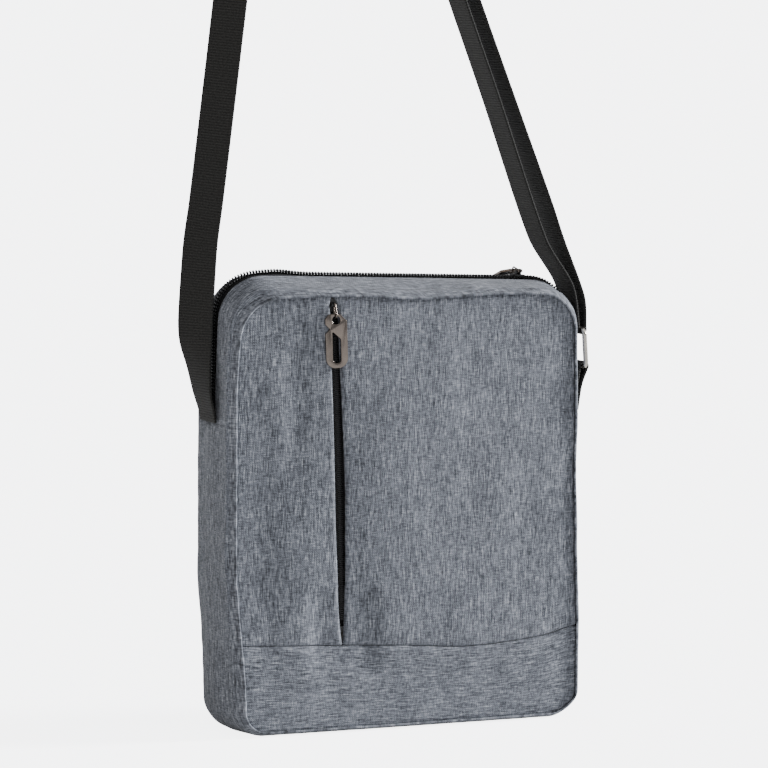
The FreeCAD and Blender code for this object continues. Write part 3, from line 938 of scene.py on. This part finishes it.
def ribbon(name, stations, width_axis=None, step=3.0):
    """Webbing along a line; its width runs along Y, turned about Z by each station's twist."""
    line = catmull(stations, step)
    rows, uvs = [], []
    run = 0.0
    for i, (x, y, z, twist) in enumerate(line):
        spot = Vector((x, y, z))
        before, after = Vector(line[max(0, i - 1)][:3]), Vector(line[min(len(line) - 1, i + 1)][:3])
        tangent = (after - before).normalized()
        if width_axis:
            wide = Vector(width_axis)
        else:
            turn = math.radians(twist)
            wide = Vector((-math.sin(turn), math.cos(turn), 0))
        wide = (wide - tangent * wide.dot(tangent)).normalized()
        thick = tangent.cross(wide)
        if i:
            run += (spot - Vector(line[i - 1][:3])).length
        rows.append([spot + wide * a + thick * b for a, b in WEB_PROFILE])
        uvs.append([(a, run) for a, b in WEB_PROFILE])
    obj = grid_object(name, rows, uvs, closed=True)
    mesh = bmesh.new()
    mesh.from_mesh(obj.data)
    bmesh.ops.holes_fill(mesh, edges=[e for e in mesh.edges if e.is_boundary])
    bmesh.ops.recalc_face_normals(mesh, faces=mesh.faces)
    mesh.to_mesh(obj.data)
    mesh.free()
    return obj


def bezier(ends, count):
    points = []
    for i in range(1, count + 1):
        t = i / count
        shares = ((1 - t) ** 3, 3 * t * (1 - t) ** 2, 3 * t * t * (1 - t), t ** 3)
        points.append(tuple(sum(s * p[k] for s, p in zip(shares, ends)) for k in (0, 1)))
    return points


def round_bar(centre, start, end, count):
    points = []
    for i in range(count + 1):
        angle = math.radians(start + (end - start) * i / count)
        points.append((centre[0] + BAR_RADIUS * math.cos(angle), centre[1] + BAR_RADIUS * math.sin(angle)))
    return points


def level(points, twist=0.0):
    return [(x, 0.0, z, twist) for x, z in points]


def untwisting(points):
    return [(x, 0.0, z, LEG_TWIST * (1 - (i + 1) / len(points))) for i, (x, z) in enumerate(points)]


def anchor_blend(piece):
    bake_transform(piece)


def strap():
    leg_high = (-100.0, 470.0)
    leg = [(-117.5, 0, 184.6, 0), (-118.3, 0, 190.0, 0.5), (-121.3, 0, 201.0, 3.5), (-123.6, 0, 217.0, 13),
           (-125.5, 0, 231.0, 28), (-125.8, 0, 240.0, 33), (-125.6, 0, 250.0, 33), (-124.6, 0, 266.0, 33),
           (-122.8, 0, 290.0, 32), (-119.4, 0, 314.0, LEG_TWIST), (-110.5, 0, 385.5, LEG_TWIST),
           (leg_high[0], 0, leg_high[1], LEG_TWIST)]
    rise = bezier([leg_high, (-94.5, 514), (-62, 532), (-27, 532)], 7)
    fall = bezier([(-27, 532), (8, 532), (33, 482), (49.7, 432)], 6)
    outer = level(fall + [(73, 374), (98.8, 310), (106.6, 289), (121, 253.5)]
                  + round_bar(RING_HIGH, 20, -90, 7))
    web = ribbon("strap_webbing_main", leg + untwisting(rise) + outer)
    dress(web, "webbing", None, "strap_webbing")
    anchor_blend(web)

    inner_rise = bezier([(-91.9, 480), (-87.7, 510), (-58, 521), (-27, 521)], 6)
    inner_fall = bezier([(-27, 521), (4, 521), (25, 478), (40.5, 432)], 6)
    start = [(-94.1, 0, 469.5, LEG_TWIST), (-91.9, 0, 480, LEG_TWIST)]
    inner = level(inner_fall + [(63, 374), (95, 289), (113.5, 260)] + round_bar(RING_HIGH, 150, 262, 7))
    back = ribbon("strap_webbing_return", start + untwisting(inner_rise) + inner)
    dress(back, "webbing", None, "strap_return_webbing")
    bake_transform(back)

    loop = [(115.6, 184.8), (117.2, 200.0)] + round_bar(RING_LOW, 172, -8, 9)
    loop += [(120.0, 200.0), (117.5, 184.8)]
    hold = ribbon("strap_ring_loop_webbing", level(loop), step=1.5)
    dress(hold, "webbing", None, "strap_ring_loop")
    anchor_blend(hold)


def soften(node, width, body, slot, angle=0.6):
    """A copy of a hard node with small rounded edges that catch the light."""
    source = frame["nodes"][node]
    obj = bpy.data.objects.new(node + "_finish", source.data.copy())
    bpy.context.scene.collection.objects.link(obj)
    mesh = bmesh.new()
    mesh.from_mesh(obj.data)
    bmesh.ops.remove_doubles(mesh, verts=mesh.verts, dist=1e-6)
    bmesh.ops.dissolve_limit(mesh, angle_limit=0.02, verts=mesh.verts, edges=mesh.edges)
    mesh.to_mesh(obj.data)
    mesh.free()
    mod = obj.modifiers.new("edge", "BEVEL")
    mod.width = width * MM
    mod.segments = 3
    mod.limit_method = "ANGLE"
    mod.angle_limit = angle
    applied(obj)
    smooth_by_angle(obj.data)
    dress(obj, slot, body, node)


def smooth_by_angle(mesh, limit=0.7):
    mesh.polygons.foreach_set("use_smooth", [True] * len(mesh.polygons))
    mesh.set_sharp_from_angle(angle=limit)


def hardware():
    soften("pocket_zip_pull_tag", 0.42, "pocket_tag", "pull_metal")
    soften("main_zip_pull_tag", 0.42, "main_tag", "pull_metal")
    soften("adjuster_frame", 0.5, "adjuster", "strap_nickel")


def carried_over():
    """Design nodes that stay get their finish from their record slot."""
    slots = {entry["node"]: entry["material_slot"] for entry in frame["record"]["subparts"]}
    for name, obj in frame["nodes"].items():
        obj.data.materials.clear()
        obj.data.materials.append(MATERIALS[slots[name]])
        smooth_by_angle(obj.data)


# ---------------------------------------------------------------- stage

SWEEP = 6.2              # brightness of the white sweep
FLOOR_GLOW = 4.9         # lifts the floor to the sweep's white, for the camera only
SKY = 0.30               # light that reaches the bag from all round
DAYLIGHT = (0.97, 0.985, 1.0)
WARM = (1.0, 0.86, 0.70)
# name, azimuth, elevation and spread in degrees, strength, colour
LAMPS = (("key", 79, 16, 14, 7.2, DAYLIGHT),
         ("top", 5, 60, 50, 0.6, DAYLIGHT),
         ("left", -80, 15, 60, 0.34, WARM))


def stage():
    world = bpy.data.worlds.new("studio")
    bpy.context.scene.world = world
    world.use_nodes = True
    tree = world.node_tree
    sky = tree.nodes["Background"]
    sky.inputs[0].default_value = (0.95, 0.97, 1.0, 1)
    # a softer light than the white sweep that the camera sees
    seen = tree.nodes.new("ShaderNodeLightPath").outputs["Is Camera Ray"]
    level = math_node(tree, "ADD", math_node(tree, "MULTIPLY", seen, SWEEP - SKY), SKY)
    tree.links.new(level, sky.inputs[1])
    size = 250.0
    floor = mesh_object("floor", [Vector((x, y, -0.0004)) for x, y in
                                  ((-size, -size), (size, -size), (size, size), (-size, size))],
                        [(0, 1, 2, 3)], scale=1.0)
    mat, tree, shader = new_material("floor")
    shader.inputs["Base Color"].default_value = (0.93, 0.93, 0.925, 1)
    shader.inputs["Roughness"].default_value = 0.95
    shader.inputs["Specular IOR Level"].default_value = 0.0
    shader.inputs["Emission Color"].default_value = (0.97, 0.98, 1.0, 1)
    seen = tree.nodes.new("ShaderNodeLightPath").outputs["Is Camera Ray"]
    tree.links.new(math_node(tree, "MULTIPLY", seen, FLOOR_GLOW), shader.inputs["Emission Strength"])
    floor.data.materials.append(mat)
    for name, azimuth, elevation, spread, energy, color in LAMPS:
        lamp = bpy.data.lights.new(name, "SUN")
        lamp.energy = energy
        lamp.angle = math.radians(spread)
        lamp.color = color
        obj = bpy.data.objects.new(name, lamp)
        bpy.context.scene.collection.objects.link(obj)
        obj.rotation_mode = "QUATERNION"
        obj.rotation_quaternion = (-back_vector(azimuth, elevation)).to_track_quat("-Z", "Y")


def back_vector(azimuth, elevation):
    a, e = math.radians(azimuth), math.radians(elevation)
    return Vector((math.sin(a) * math.cos(e), -math.cos(a) * math.cos(e), math.sin(e)))


def camera():
    azimuth, elevation, roll = -23.2, 5.6, 0.47
    distance, per_mm = 2500.0, 1.67
    data = bpy.data.cameras.new("camera")
    data.sensor_width = 36.0
    picture_wide = 768
    data.lens = per_mm * distance * data.sensor_width / picture_wide
    obj = bpy.data.objects.new("camera", data)
    bpy.context.scene.collection.objects.link(obj)
    back = back_vector(azimuth, elevation)
    right = Vector((math.cos(math.radians(azimuth)), math.sin(math.radians(azimuth)), 0))
    aim = Vector((0, 0, 202.8)) - right * 4.8
    turn = (-back).to_track_quat("-Z", "Y")
    obj.rotation_mode = "QUATERNION"
    obj.rotation_quaternion = turn @ Matrix.Rotation(math.radians(roll), 3, "Z").to_quaternion()
    obj.location = (aim + back * distance) * MM
    data.clip_end = 1000.0
    bpy.context.scene.camera = obj


carried_over()
front_face()
back_face()
gusset()
linings()
foams()
bindings()
main_zip()
pocket_zip()
strap()
hardware()
stage()
camera()
